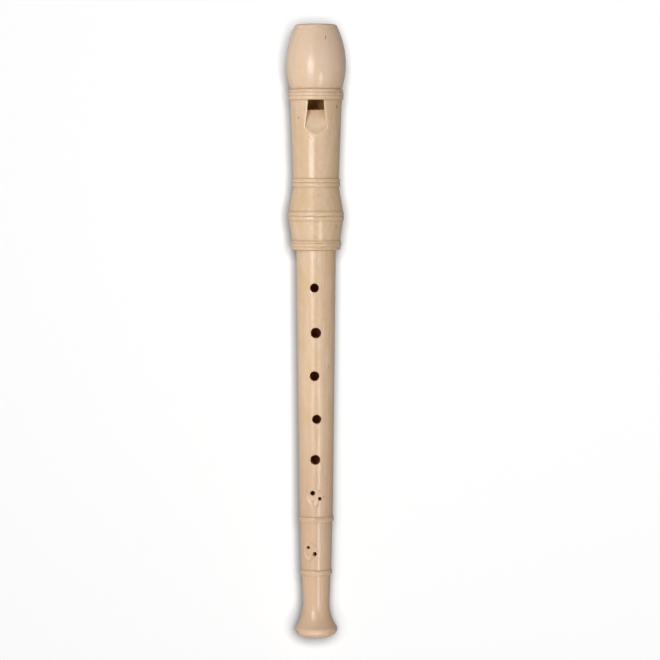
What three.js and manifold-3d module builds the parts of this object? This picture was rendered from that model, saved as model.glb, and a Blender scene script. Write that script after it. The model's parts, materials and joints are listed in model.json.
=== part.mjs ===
// Soprano recorder in two joints, lying on its back with its window and finger holes up
// Lengths are millimetres, +Z is up, +Y runs along the instrument towards the beak

import * as THREE from 'three';
import { mergeVertices, toCreasedNormals } from 'three/addons/utils/BufferGeometryUtils.js';
import Module from 'manifold-3d';

const wasm = await Module();
wasm.setup();

// Fits
const FIT_GAP = 0.3; // left round every piece that seats in, on or against another

// Head joint, outside, from its socket end up to the beak
const SOCKET_END_R = 12.0;
const END_BEAD_R = 13.45;
const END_BEADS_LENGTH = 5.7;
const SOCKET_NECK_R = 12.9;
const SOCKET_CONE_LENGTH = 10.4;
const SOCKET_CONE_R = 14.3;
const SOCKET_CONE_POWER = 1.25; // above 1 hollows the cone a little
const LARGE_BEAD_R = 14.85;
const LARGE_BEADS_LENGTH = 4.9;
const WAIST_CONE_R = 14.35;
const WAIST_CONE_LENGTH = 13.3;
const WAIST_R = 12.1;
const SMALL_BEAD_R = 12.75;
const SMALL_BEADS_LENGTH = 4.2;
const SHAFT_LENGTH = 42.3;
const SHAFT_TOP_R = 13.6;
const NECK_BEAD_R = 14.6;
const NECK_BEADS_LENGTH = 5.4;
const NECK_R = 14.1;
const BARREL_R = 15.85;
const BARREL_CURVE_R = 46; // of the barrel's bulge, seen from the side
const BARREL_TIP_LENGTH = 21.9; // from the widest place to the tip
const TIP_FACE_R = 9.6;
const TIP_ROUND = 1.2;
const BEAD_GROOVE = 0.3; // how deep the lines between neighbouring beads are cut

// Head joint, inside
const SOCKET_R = 9.2;
const SOCKET_DEPTH = 24;
const SOCKET_LEAD = 0.6; // chamfer at the socket's mouth and at its inner step
const HEAD_BORE_R = 6.5;

// Windway, window and the ramp down to the labium
const WINDWAY_WIDTH = 8.5;
const WINDWAY_DEPTH = 0.95; // cut into the roof of the bore
const WINDOW_BELOW_BEADS = 0.5;
const WINDOW_LENGTH = 5.25;
const LABIUM_THICKNESS = 0.6;
const RAMP_LENGTH = 13.9;
const RAMP_END_SLOPE = 0.22;
const RAMP_SPREAD_DEG = 9.5; // how far each side wall of the ramp opens out
const RAMP_RUN_OUT = 3; // how far the ramp's cut goes on past the surface

// Beak, cut in a hollow curve across the back
const BEAK_LENGTH = 31;
const BEAK_TIP_THICKNESS = 10.8;
const BEAK_CURVE_R = 50;

// Body joint, outside, from its shoulder down to the bell
const SHOULDER_R = 10.45;
const SHOULDER_ROUND = 0.3;
const BODY_SHAFT_LENGTH = 140.5;
const BODY_SHAFT_R = 8.9;
const UPPER_RING_R = 9.2;
const UPPER_RING_LENGTH = 3.1;
const LOWER_SHAFT_TOP_R = 8.6;
const LOWER_SHAFT_LENGTH = 24.8;
const LOWER_SHAFT_R = 8.05;
const LOWER_RING_R = 8.4;
const LOWER_RING_LENGTH = 3.6;
const BELL_NECK_TOP_R = 7.65;
const BELL_NECK_LENGTH = 14;
const BELL_NECK_R = 7.1;
const BELL_FLARE_LENGTH = 13.8;
const BELL_FLARE_POWER = 2.2;
const BELL_R = 11.37;
const BELL_LIP_LENGTH = 4.3;
const BELL_FACE_R = 6.6;

// Body joint, inside
const BODY_BORE_TOP_R = 5.9;
const BODY_BORE_FOOT_R = 4.3;
const BORE_EXIT_CHAMFER = 0.5;

// Tenon and the cork band in its groove
const TENON_LEAD = 0.5;
const CORK_BELOW_TENON_END = 5;
const CORK_LENGTH = 12;
const CORK_GROOVE_DEPTH = 1.3;

// Finger holes, measured down from the shoulder
const SINGLE_HOLES = [
  { down: 19.8, width: 4.8 },
  { down: 43.4, width: 5.6 },
  { down: 66.3, width: 5.1 },
  { down: 89.1, width: 4.7 },
  { down: 110.8, width: 5.1 },
];
const THUMB_HOLE = { down: 16.5, width: 5.0 };
const DOUBLE_HOLES = [
  {
    down: 129.9,
    turn: 0,
    pair: [{ across: -1.5, along: 1.6, width: 2.6 }, { across: 2.4, along: -1.4, width: 2.1 }],
  },
  {
    down: 158.7,
    turn: -14,
    pair: [{ across: -1.9, along: 1.7, width: 1.8 }, { across: 1.85, along: -1.7, width: 2.2 }],
  },
];
const SCOOP_DEPTH = 0.85;
const SCOOP_CURVE_R = 9.8;

// How far a cut goes on outside the instrument
const OVERCUT = 10;

// Facets
const TURNING_SIDES = 38; // leaves a flat facet on top and underneath, and an edge at each side
const HOLE_SIDES = 20;
const SCOOP_SIDES = 96;
const BEAK_SIDES = 192;
const ARC_STEPS = 8; // in each curve of a drawn-out shape
const SMALL_BEAD_STEPS = 4;
const LARGE_BEAD_STEPS = 6;
const RING_STEPS = 5;
const SOCKET_CONE_STEPS = 3;
const BARREL_STEPS = [5, 8]; // below and above its widest place
const TIP_STEPS = 3;
const BELL_STEPS = [8, 7]; // along the flare and round the lip
const CREASE_DEG = 25; // edges sharper than this stay crisp

const maple = new THREE.MeshStandardMaterial({ color: 0xe2c5a3, roughness: 0.38, metalness: 0 });
const cedar = new THREE.MeshStandardMaterial({ color: 0xb58459, roughness: 0.7, metalness: 0 });
const cork = new THREE.MeshStandardMaterial({ color: 0xc49a6c, roughness: 0.9, metalness: 0 });

// An outline is a list of points, x the radius and y the place along the axis
const point = (radius, y) => new THREE.Vector2(radius, y);
const last = (outline) => outline[outline.length - 1];

// A row of turned beads between two radii, whose crests reach the given radius
function addBeads(outline, count, length, crestRadius, endRadius, steps) {
  const start = last(outline).clone();
  const valleyAt = (share) => {
    const base = THREE.MathUtils.lerp(start.x, endRadius, share);
    return share > 0 && share < 1 ? Math.max(base, crestRadius - BEAD_GROOVE) : base;
  };
  for (let bead = 0; bead < count; bead++) {
    const [from, to] = [valleyAt(bead / count), valleyAt((bead + 1) / count)];
    for (let step = 1; step <= steps; step++) {
      const angle = (Math.PI * step) / steps;
      const share = (1 - Math.cos(angle)) / 2;
      const base = THREE.MathUtils.lerp(from, to, share);
      const radius = base + (crestRadius - base) * Math.sin(angle);
      outline.push(point(radius, start.y + (length * (bead + share)) / count));
    }
  }
}

// A quarter of an ellipse that turns from along the axis towards it
function addRoundedEnd(outline, length, endRadius, steps) {
  const start = last(outline).clone();
  for (let step = 1; step <= steps; step++) {
    const angle = (Math.PI / 2) * (step / steps);
    const radius = endRadius + (start.x - endRadius) * Math.cos(angle);
    outline.push(point(radius, start.y + length * Math.sin(angle)));
  }
}

// A smooth swelling from one radius to another, level at its start and steep at its end
function addFlare(outline, length, endRadius, power, steps) {
  const start = last(outline).clone();
  for (let step = 1; step <= steps; step++) {
    const share = step / steps;
    const radius = start.x + (endRadius - start.x) * share ** power;
    outline.push(point(radius, start.y + length * share));
  }
}

// Part of a bulge's arc, between two distances from its crest along the axis
function addBulge(outline, crestRadius, curveRadius, from, to, steps) {
  const startY = last(outline).y;
  for (let step = 1; step <= steps; step++) {
    const place = THREE.MathUtils.lerp(from, to, step / steps);
    const radius = crestRadius - curveRadius + Math.sqrt(curveRadius ** 2 - place ** 2);
    outline.push(point(radius, startY + place - from));
  }
}

function addCone(outline, length, endRadius) {
  outline.push(point(endRadius, last(outline).y + length));
}

function radiusAt(outline, y) {
  const above = outline.findIndex((place) => place.y >= y);
  const [low, high] = [outline[above - 1], outline[above]];
  return THREE.MathUtils.mapLinear(y, low.y, high.y, low.x, high.x);
}

// Geometry to solid and back
function solidOf(geometry) {
  const bare = geometry.clone();
  bare.deleteAttribute('normal');
  bare.deleteAttribute('uv');
  const merged = mergeVertices(bare);
  return new wasm.Manifold(new wasm.Mesh({
    numProp: 3,
    vertProperties: Float32Array.from(merged.attributes.position.array),
    triVerts: Uint32Array.from(merged.index.array),
  }));
}

function geometryOf(solid) {
  const { vertProperties, triVerts } = solid.getMesh();
  const geometry = new THREE.BufferGeometry();
  geometry.setAttribute('position', new THREE.BufferAttribute(vertProperties, 3));
  geometry.setIndex(new THREE.BufferAttribute(triVerts, 1));
  return toCreasedNormals(geometry, THREE.MathUtils.degToRad(CREASE_DEG));
}

// A solid turned round the Y axis from a closed outline
function turned(outline) {
  return new THREE.LatheGeometry([...outline, outline[0]], TURNING_SIDES, Math.PI / 2);
}

// A shape in the XZ plane, drawn out along the axis
function drawnAlong(shape, fromY, toY) {
  const settings = { depth: toY - fromY, bevelEnabled: false, curveSegments: ARC_STEPS };
  const geometry = new THREE.ExtrudeGeometry(shape, settings);
  return geometry.rotateX(Math.PI / 2).translate(0, toY, 0);
}

// A shape in the YZ plane, drawn out to both sides
function drawnAcross(shape, width) {
  const settings = { depth: width, bevelEnabled: false, curveSegments: ARC_STEPS };
  const geometry = new THREE.ExtrudeGeometry(shape, settings);
  const upright = new THREE.Matrix4().makeBasis(
    new THREE.Vector3(0, 1, 0),
    new THREE.Vector3(0, 0, 1),
    new THREE.Vector3(1, 0, 0),
  );
  return geometry.applyMatrix4(upright).translate(-width / 2, 0, 0);
}

function shapeOf(corners) {
  return new THREE.Shape(corners.map(([x, y]) => new THREE.Vector2(x, y)));
}

// Outside of the head joint
function headOutline() {
  const outline = [point(SOCKET_END_R, 0)];
  addBeads(outline, 3, END_BEADS_LENGTH, END_BEAD_R, SOCKET_NECK_R, SMALL_BEAD_STEPS);
  addFlare(outline, SOCKET_CONE_LENGTH, SOCKET_CONE_R, SOCKET_CONE_POWER, SOCKET_CONE_STEPS);
  addBeads(outline, 2, LARGE_BEADS_LENGTH, LARGE_BEAD_R, WAIST_CONE_R, LARGE_BEAD_STEPS);
  addCone(outline, WAIST_CONE_LENGTH, WAIST_R);
  addBeads(outline, 2, SMALL_BEADS_LENGTH, SMALL_BEAD_R, WAIST_R, LARGE_BEAD_STEPS);
  addCone(outline, SHAFT_LENGTH, SHAFT_TOP_R);
  addBeads(outline, 3, NECK_BEADS_LENGTH, NECK_BEAD_R, NECK_R, SMALL_BEAD_STEPS);
  const drop = BARREL_R - NECK_R;
  const rise = Math.sqrt(drop * (2 * BARREL_CURVE_R - drop));
  const [stepsBelow, stepsAbove] = BARREL_STEPS;
  addBulge(outline, BARREL_R, BARREL_CURVE_R, -rise, 0, stepsBelow);
  addBulge(outline, BARREL_R, BARREL_CURVE_R, 0, BARREL_TIP_LENGTH - TIP_ROUND, stepsAbove);
  addRoundedEnd(outline, TIP_ROUND, TIP_FACE_R, TIP_STEPS);
  return outline;
}

// Outside of the body joint below its shoulder, with y measured down
function bodyOutline() {
  const outline = [point(SHOULDER_R - SHOULDER_ROUND, 0), point(SHOULDER_R, SHOULDER_ROUND)];
  addCone(outline, BODY_SHAFT_LENGTH - SHOULDER_ROUND, BODY_SHAFT_R);
  addBeads(outline, 1, UPPER_RING_LENGTH, UPPER_RING_R, LOWER_SHAFT_TOP_R, RING_STEPS);
  addCone(outline, LOWER_SHAFT_LENGTH, LOWER_SHAFT_R);
  addBeads(outline, 1, LOWER_RING_LENGTH, LOWER_RING_R, BELL_NECK_TOP_R, RING_STEPS);
  addCone(outline, BELL_NECK_LENGTH, BELL_NECK_R);
  const [flareSteps, lipSteps] = BELL_STEPS;
  addFlare(outline, BELL_FLARE_LENGTH, BELL_R, BELL_FLARE_POWER, flareSteps);
  addRoundedEnd(outline, BELL_LIP_LENGTH, BELL_FACE_R, lipSteps);
  return outline;
}

const headOutside = headOutline();
const bodyOutside = bodyOutline();
const HEAD_LENGTH = last(headOutside).y;
const BODY_LENGTH = last(bodyOutside).y;
const WINDOW_TOP = END_BEADS_LENGTH + SOCKET_CONE_LENGTH + LARGE_BEADS_LENGTH + WAIST_CONE_LENGTH
  + SMALL_BEADS_LENGTH + SHAFT_LENGTH - WINDOW_BELOW_BEADS;
const LABIUM = WINDOW_TOP - WINDOW_LENGTH;
const OUTSIDE = BARREL_R + OVERCUT; // clear of the instrument in every direction across it

// Concave cut across the back of the beak, shared by the head joint and the block
function beakCutter() {
  const startY = HEAD_LENGTH - BEAK_LENGTH;
  const start = new THREE.Vector2(startY, -radiusAt(headOutside, startY));
  const tip = new THREE.Vector2(HEAD_LENGTH, TIP_FACE_R - BEAK_TIP_THICKNESS);
  const chord = tip.clone().sub(start);
  const reach = Math.sqrt(BEAK_CURVE_R ** 2 - chord.lengthSq() / 4);
  const outwards = new THREE.Vector2(chord.y, -chord.x).normalize();
  const centre = start.clone().lerp(tip, 0.5).addScaledVector(outwards, reach);
  const cylinder = new THREE.CylinderGeometry(BEAK_CURVE_R, BEAK_CURVE_R, 2 * OUTSIDE, BEAK_SIDES);
  return solidOf(cylinder.rotateZ(Math.PI / 2).translate(0, centre.x, centre.y));
}

// Arched channel over the block, from the window to the tip
function windwayCutter() {
  const roof = HEAD_BORE_R + WINDWAY_DEPTH;
  const halfAngle = Math.asin(WINDWAY_WIDTH / 2 / roof);
  const shape = new THREE.Shape();
  shape.moveTo(-WINDWAY_WIDTH / 2, HEAD_BORE_R / 2);
  shape.lineTo(WINDWAY_WIDTH / 2, HEAD_BORE_R / 2);
  shape.absarc(0, 0, roof, Math.PI / 2 - halfAngle, Math.PI / 2 + halfAngle, false);
  return solidOf(drawnAlong(shape, WINDOW_TOP - WINDOW_LENGTH / 2, HEAD_LENGTH + OVERCUT));
}

function windowCutter() {
  const height = OUTSIDE - HEAD_BORE_R / 2;
  const box = new THREE.BoxGeometry(WINDWAY_WIDTH, WINDOW_LENGTH, height);
  return solidOf(box.translate(0, LABIUM + WINDOW_LENGTH / 2, HEAD_BORE_R / 2 + height / 2));
}

// Ramp from the outside down to the labium, between side walls that spread apart
function rampCutter() {
  const edge = HEAD_BORE_R + LABIUM_THICKNESS;
  const endY = LABIUM - RAMP_LENGTH;
  const endZ = radiusAt(headOutside, endY);
  const outsideY = endY - RAMP_RUN_OUT;
  const overlap = WINDOW_LENGTH / 2;
  const side = new THREE.Shape();
  side.moveTo(outsideY, endZ + RAMP_END_SLOPE * RAMP_RUN_OUT);
  side.lineTo(endY, endZ);
  side.quadraticCurveTo(endY + RAMP_LENGTH / 2, endZ - (RAMP_END_SLOPE * RAMP_LENGTH) / 2, LABIUM, edge);
  side.lineTo(LABIUM + overlap, edge);
  side.lineTo(LABIUM + overlap, OUTSIDE);
  side.lineTo(outsideY, OUTSIDE);
  const spread = Math.tan(THREE.MathUtils.degToRad(RAMP_SPREAD_DEG)) * (LABIUM - outsideY);
  const half = WINDWAY_WIDTH / 2;
  const plan = shapeOf([
    [half, LABIUM], [half, LABIUM + overlap], [-half, LABIUM + overlap], [-half, LABIUM],
    [-half - spread, outsideY], [half + spread, outsideY],
  ]);
  const fromAbove = new THREE.ExtrudeGeometry(plan, { depth: OUTSIDE, bevelEnabled: false });
  return solidOf(drawnAcross(side, 2 * OUTSIDE)).intersect(solidOf(fromAbove));
}

function headGeometry() {
  const stepLead = (SOCKET_R - HEAD_BORE_R) / 2;
  const outline = [
    ...headOutside,
    point(HEAD_BORE_R, HEAD_LENGTH),
    point(HEAD_BORE_R, SOCKET_DEPTH + stepLead),
    point(HEAD_BORE_R + stepLead, SOCKET_DEPTH),
    point(SOCKET_R, SOCKET_DEPTH),
    point(SOCKET_R, SOCKET_LEAD),
    point(SOCKET_R + SOCKET_LEAD, 0),
  ];
  return geometryOf(
    solidOf(turned(outline))
      .subtract(windwayCutter())
      .subtract(windowCutter())
      .subtract(rampCutter())
      .subtract(beakCutter()),
  );
}

// Plug that fills the bore above the window and is the floor of the windway
function blockGeometry() {
  const radius = HEAD_BORE_R - FIT_GAP;
  const outline = [
    point(0, WINDOW_TOP),
    point(radius, WINDOW_TOP),
    point(radius, HEAD_LENGTH),
    point(0, HEAD_LENGTH),
  ];
  return geometryOf(solidOf(turned(outline)).subtract(beakCutter())).translate(0, -WINDOW_TOP, 0);
}

// A round hole from the axis outwards, at a place down the body and a turn round it
function holeCutter({ width, down, across = 0, turn = 0 }) {
  const drill = new THREE.CylinderGeometry(width / 2, width / 2, OUTSIDE, HOLE_SIDES);
  drill.rotateX(Math.PI / 2).translate(across, 0, OUTSIDE / 2);
  return solidOf(drill.rotateY(THREE.MathUtils.degToRad(turn)).translate(0, -down, 0));
}

// Shallow hollow that a pair of small holes opens into
function scoopCutter({ down, turn }) {
  const drum = new THREE.CylinderGeometry(SCOOP_CURVE_R, SCOOP_CURVE_R, 2 * OUTSIDE, SCOOP_SIDES);
  const height = radiusAt(bodyOutside, down) - SCOOP_DEPTH + SCOOP_CURVE_R;
  drum.rotateZ(Math.PI / 2).translate(0, 0, height);
  return solidOf(drum.rotateY(THREE.MathUtils.degToRad(turn)).translate(0, -down, 0));
}

const TENON_R = SOCKET_R - FIT_GAP;
const TENON_END = SOCKET_DEPTH - FIT_GAP;
const SHOULDER = -FIT_GAP;
const CORK_TOP = TENON_END - CORK_BELOW_TENON_END;

function bodyGeometry() {
  const grooveR = TENON_R - CORK_GROOVE_DEPTH;
  const outside = bodyOutside.map(({ x, y }) => point(x, SHOULDER - y)).reverse();
  const footY = SHOULDER - BODY_LENGTH;
  const outline = [
    ...outside,
    point(TENON_R, SHOULDER),
    point(TENON_R, CORK_TOP - CORK_LENGTH - FIT_GAP),
    point(grooveR, CORK_TOP - CORK_LENGTH - FIT_GAP),
    point(grooveR, CORK_TOP + FIT_GAP),
    point(TENON_R, CORK_TOP + FIT_GAP),
    point(TENON_R, TENON_END - TENON_LEAD),
    point(TENON_R - TENON_LEAD, TENON_END),
    point(BODY_BORE_TOP_R, TENON_END),
    point(BODY_BORE_FOOT_R, footY + BORE_EXIT_CHAMFER),
    point(BODY_BORE_FOOT_R + BORE_EXIT_CHAMFER, footY),
  ];
  let solid = solidOf(turned(outline));
  for (const hole of SINGLE_HOLES) solid = solid.subtract(holeCutter(hole));
  solid = solid.subtract(holeCutter({ ...THUMB_HOLE, turn: 180 }));
  for (const place of DOUBLE_HOLES) {
    solid = solid.subtract(scoopCutter(place));
    for (const { width, across, along } of place.pair) {
      solid = solid.subtract(holeCutter({ width, across, down: place.down - along, turn: place.turn }));
    }
  }
  return geometryOf(solid);
}

function corkGeometry() {
  const inner = TENON_R - CORK_GROOVE_DEPTH + FIT_GAP;
  return turned([
    point(inner, 0),
    point(TENON_R, 0),
    point(TENON_R, CORK_LENGTH),
    point(inner, CORK_LENGTH),
  ]);
}

function piece(name, geometry, material, y) {
  const mesh = new THREE.Mesh(geometry, material);
  mesh.name = name;
  mesh.position.y = y;
  return mesh;
}

const headAssembly = new THREE.Group();
headAssembly.add(piece('head_joint', headGeometry(), maple, 0));
headAssembly.add(piece('windway_block', blockGeometry(), cedar, WINDOW_TOP));

const bodyAssembly = new THREE.Group();
bodyAssembly.add(piece('body_joint', bodyGeometry(), maple, 0));
bodyAssembly.add(piece('tenon_cork', corkGeometry(), cork, CORK_TOP - CORK_LENGTH));

// The instrument leans on its bell rim and on the ring of the head that meets the table first
const bellY = SHOULDER - (BODY_LENGTH - BELL_LIP_LENGTH);
const facetShare = Math.cos(Math.PI / TURNING_SIDES);
const slopes = headOutside.map(({ x, y }) => (facetShare * (x - BELL_R)) / (y - bellY));
const instrument = new THREE.Group();
instrument.rotation.x = Math.atan(Math.max(...slopes));
instrument.add(headAssembly, bodyAssembly);

const extent = new THREE.Box3().setFromObject(instrument, true);
const middle = extent.getCenter(new THREE.Vector3());
instrument.position.set(-middle.x, -middle.y, -extent.min.z);

const recorder = new THREE.Group();
recorder.add(instrument);

export default recorder;
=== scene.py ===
"""A soprano recorder in two joints, lying on its back on a white table.

The head and the body are turned maple. A cedar block fills the head's bore above the window,
and a cork band sits in the groove of the body's tenon.
"""

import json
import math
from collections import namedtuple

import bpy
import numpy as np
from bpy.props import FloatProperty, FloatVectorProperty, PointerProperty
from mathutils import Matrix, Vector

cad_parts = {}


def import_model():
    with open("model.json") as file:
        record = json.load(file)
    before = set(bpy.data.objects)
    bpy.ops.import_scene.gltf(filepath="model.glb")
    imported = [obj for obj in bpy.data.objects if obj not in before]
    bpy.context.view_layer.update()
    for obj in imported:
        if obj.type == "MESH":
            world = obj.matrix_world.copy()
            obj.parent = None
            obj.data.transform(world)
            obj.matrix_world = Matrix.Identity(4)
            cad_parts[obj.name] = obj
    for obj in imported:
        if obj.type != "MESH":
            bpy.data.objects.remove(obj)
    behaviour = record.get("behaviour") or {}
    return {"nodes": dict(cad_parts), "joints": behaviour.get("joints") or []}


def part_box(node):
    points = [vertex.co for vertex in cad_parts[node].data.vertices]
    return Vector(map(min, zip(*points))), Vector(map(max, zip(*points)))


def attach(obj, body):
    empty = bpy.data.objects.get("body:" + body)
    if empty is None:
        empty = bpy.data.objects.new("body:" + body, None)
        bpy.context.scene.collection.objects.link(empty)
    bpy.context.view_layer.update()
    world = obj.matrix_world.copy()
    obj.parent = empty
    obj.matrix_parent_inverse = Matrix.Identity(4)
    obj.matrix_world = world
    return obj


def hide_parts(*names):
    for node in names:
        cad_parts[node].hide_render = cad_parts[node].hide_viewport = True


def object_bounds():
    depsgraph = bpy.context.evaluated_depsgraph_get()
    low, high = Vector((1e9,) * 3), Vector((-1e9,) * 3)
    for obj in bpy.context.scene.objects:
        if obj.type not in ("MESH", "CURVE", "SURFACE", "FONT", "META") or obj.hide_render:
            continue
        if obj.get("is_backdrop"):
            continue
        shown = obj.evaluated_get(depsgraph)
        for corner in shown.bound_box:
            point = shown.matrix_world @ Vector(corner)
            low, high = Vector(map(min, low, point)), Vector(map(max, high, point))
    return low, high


bl_info = {
    "name": "Soprano Recorder",
    "version": (1, 0, 0),
    "blender": (4, 5, 0),
    "location": "View3D > Sidebar > Recorder",
    "description": "Makes a turned maple soprano recorder with its block and cork, and a small studio",
    "category": "Add Mesh",
}

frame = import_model()
CAD_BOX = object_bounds()

MM = 0.001

# How the instrument lies: x across it, y along it from the head's socket end to the beak, z up
TWIST = next(joint for joint in frame["joints"] if joint["name"] == "head_twist")
ALONG = Vector(TWIST["axis"]).normalized()
ACROSS = Vector((1, 0, 0))
UP = ACROSS.cross(ALONG)


def span(node):
    """Where a node starts and ends along the axis, measured from the point that the head turns on."""
    corners = [corner.co - Vector(TWIST["pos_m"]) for corner in frame["nodes"][node].data.vertices]
    places = [corner.dot(ALONG) for corner in corners]
    return min(places), max(places)


def half_width(node):
    low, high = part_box(node)
    return (high.x - low.x) / 2


# How far towards the beak the seam, the tip, the foot and the window's upper end lie from the CAD's
SEAM_SHIFT, TIP_SHIFT, FOOT_SHIFT, WINDOW_SHIFT = 1.66 * MM, -0.2 * MM, 0.5 * MM, 0.46 * MM

HEAD_FROM, HEAD_TO = span("head_joint")
HEAD_FROM += SEAM_SHIFT
ORIGIN = Vector(TWIST["pos_m"]) + ALONG * HEAD_FROM
LATHE = Matrix.Translation(ORIGIN) @ Matrix((ACROSS, ALONG, UP)).transposed().to_4x4()
HEAD_LENGTH = HEAD_TO - HEAD_FROM + TIP_SHIFT
FOOT, TENON_END = (place - HEAD_FROM for place in span("body_joint"))
FOOT += FOOT_SHIFT
WINDOW_TOP = span("windway_block")[0] - HEAD_FROM + WINDOW_SHIFT  # the block ends there too
GROOVE_FROM, GROOVE_TO = (place - HEAD_FROM for place in span("tenon_cork"))
CORK_GAP = 0.3 * MM  # from the CAD's cork to the ends of its groove
GROOVE_FROM -= CORK_GAP
GROOVE_TO += CORK_GAP

# How far the round barrel and bell stay inside the CAD's box, in millimetres
BARREL_MARGIN, BELL_MARGIN = 0.07, 0.04

# Small chamfers, gaps and roundings
CHAMFER = 0.5 * MM
SOCKET_LEAD = 0.6 * MM
SHOULDER = -0.05 * MM  # where the body's shoulder lies, just under the head's end
SHOULDER_ROUND = 0.1 * MM
BLOCK_GAP = 0.06 * MM
CORK_SEAT = 0.02 * MM

# How finely the pieces are made
HEAD_SIDES = 192
BODY_SIDES = 160
DISH_SIDES = 96
HOLE_SIDES = 48
RING_STEP = 1.0 * MM
BORE_STEP = 5.0 * MM
RAMP_STEP = 0.3 * MM
RAMP_POINTS = 41
WINDOW_STEPS = 9
WINDWAY_STEPS = 24
DISH_RINGS = 27
BEAD_STEPS = 14
END_STEPS = 20
FILLET_STEPS = 9
SHARP_ANGLE = math.radians(32)
OVERCUT = 10 * MM  # how far a cutter goes on outside the wood
RAMP_OVERCUT = 2 * MM  # the same past the ramp's end
LIFT = 0.02 * MM  # how far a rounded mouth rises over the surface that it rounds

Beads = namedtuple("Beads", "drops shares depth lines")

# Rows of beads: how far each crest lies under the highest in millimetres, each bead's share of the
# length, the share of the groove's depth between them, and how strongly painted shade darkens each line
END_BEADS = Beads([0.5, 0, 0.15], [0.37, 0.38, 0.25], 0.55, [0, 0.2, 0.4, 1])
LARGE_BEADS = Beads([0, 0], [0.5, 0.5], 1, [0.5, 1, 0.8])
SMALL_BEADS = Beads([0, 0], [0.5, 0.5], 1, [0.6, 1, 0.6])
NECK_BEADS = Beads([0.1, 0, 0.25], [0.39, 0.33, 0.28], 0.35, [0.7, 0.9, 1, 1])
RING = Beads([0], [1], 0, [0.8, 0.5])

FingerHole = namedtuple("FingerHole", "down width across along turn", defaults=(0, 0, 0))
Dish = namedtuple("Dish", "down turn")

# Places down the body from its shoulder, in millimetres, and turns round it in degrees
SINGLE_HOLES = [
    FingerHole(19.6, 4.7, turn=-4.6),
    FingerHole(43.3, 5.5, turn=0),
    FingerHole(66.1, 5.1, turn=-4.8),
    FingerHole(88.9, 4.8, turn=2.7),
    FingerHole(110.4, 5.2, turn=-2.4),
    FingerHole(15.1, 4.6, turn=180),  # for the thumb
]
DISHES = [Dish(129.6, -7), Dish(158.6, -23)]
PAIRED_HOLES = [
    FingerHole(129.8, 2.6, across=-1.5, along=1.65, turn=-2),
    FingerHole(129.8, 1.8, across=2.25, along=-1.25, turn=-2),
    FingerHole(158.9, 1.8, across=-2.0, along=1.7, turn=-17),
    FingerHole(158.9, 2.2, across=1.6, along=-1.65, turn=-17),
]


def size(name, description, millimetres):
    return FloatProperty(
        name=name, description=description, default=millimetres * MM, min=0, unit="LENGTH", precision=5
    )


def angle(name, description, degrees):
    return FloatProperty(name=name, description=description, default=math.radians(degrees), subtype="ANGLE")


def share(name, description, amount):
    return FloatProperty(name=name, description=description, default=amount, min=0, max=1, subtype="FACTOR")


def linear(level):
    """A screen level from 0 to 255 as the light that it stands for."""
    level /= 255
    return level / 12.92 if level <= 0.04045 else ((level + 0.055) / 1.055) ** 2.4


def colour(name, description, *levels):
    light = [linear(level) for level in levels]
    return FloatVectorProperty(
        name=name, description=description, default=light, min=0, max=1, subtype="COLOR"
    )


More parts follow.
